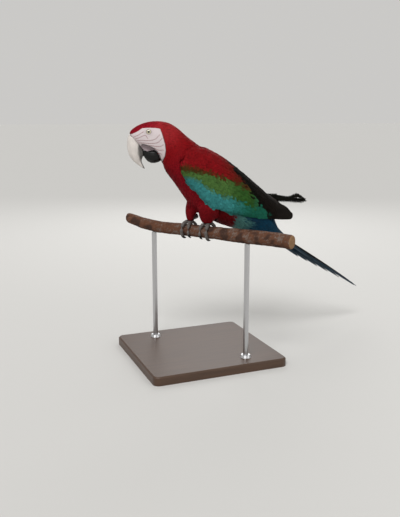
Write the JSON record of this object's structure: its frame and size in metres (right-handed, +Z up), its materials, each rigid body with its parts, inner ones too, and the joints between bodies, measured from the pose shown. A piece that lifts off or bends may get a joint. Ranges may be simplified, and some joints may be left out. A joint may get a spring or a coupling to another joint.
{
  "type": "green-winged macaw on a perch",
  "caption": "Life-size still model of a green-winged macaw gripping a cut branch, head in profile, held by a plain stand with a flat base and short rods.",
  "frame": {"origin": "centre of the stand's base, on its underside", "axes": "+Z up, -X the way the bird's body faces, -Y its left side"},
  "size_m": [0.6719, 0.3882, 0.5497],
  "materials": {
    "red_feathers": "satin",
    "green_feathers": "satin",
    "blue_feathers": "satin",
    "dark_feathers": "satin",
    "foot_skin": "scaly matte",
    "horn": "smooth horn",
    "dark_horn": "smooth horn",
    "eye": "wet gloss",
    "bark": "rough bark",
    "stand_wood": "waxed",
    "stand_steel": "brushed"
  },
  "bodies": {
    "root": {"claw_back_inner_left": "dark_horn", "claw_back_inner_right": "dark_horn", "claw_back_outer_left": "dark_horn", "claw_back_outer_right": "dark_horn", "claw_front_inner_left": "dark_horn", "claw_front_inner_right": "dark_horn", "claw_front_outer_left": "dark_horn", "claw_front_outer_right": "dark_horn", "eye_left": "eye", "eye_right": "eye", "foot_left": "foot_skin", "foot_right": "foot_skin", "head": "red_feathers", "lower_bill": "dark_horn", "neck": "red_feathers", "perch": "bark", "stand_base": "stand_wood", "stand_collar_far": "stand_steel", "stand_collar_near": "stand_steel", "stand_rod_far": "stand_steel", "stand_rod_near": "stand_steel", "tail": "blue_feathers", "tail_coverts": "blue_feathers", "thigh_left": "red_feathers", "thigh_right": "red_feathers", "trunk": "red_feathers", "upper_bill": "horn", "wing_left": "green_feathers", "wing_right": "green_feathers", "wingtip_left": "dark_feathers", "wingtip_right": "dark_feathers"}
  },
  "joints": []
}
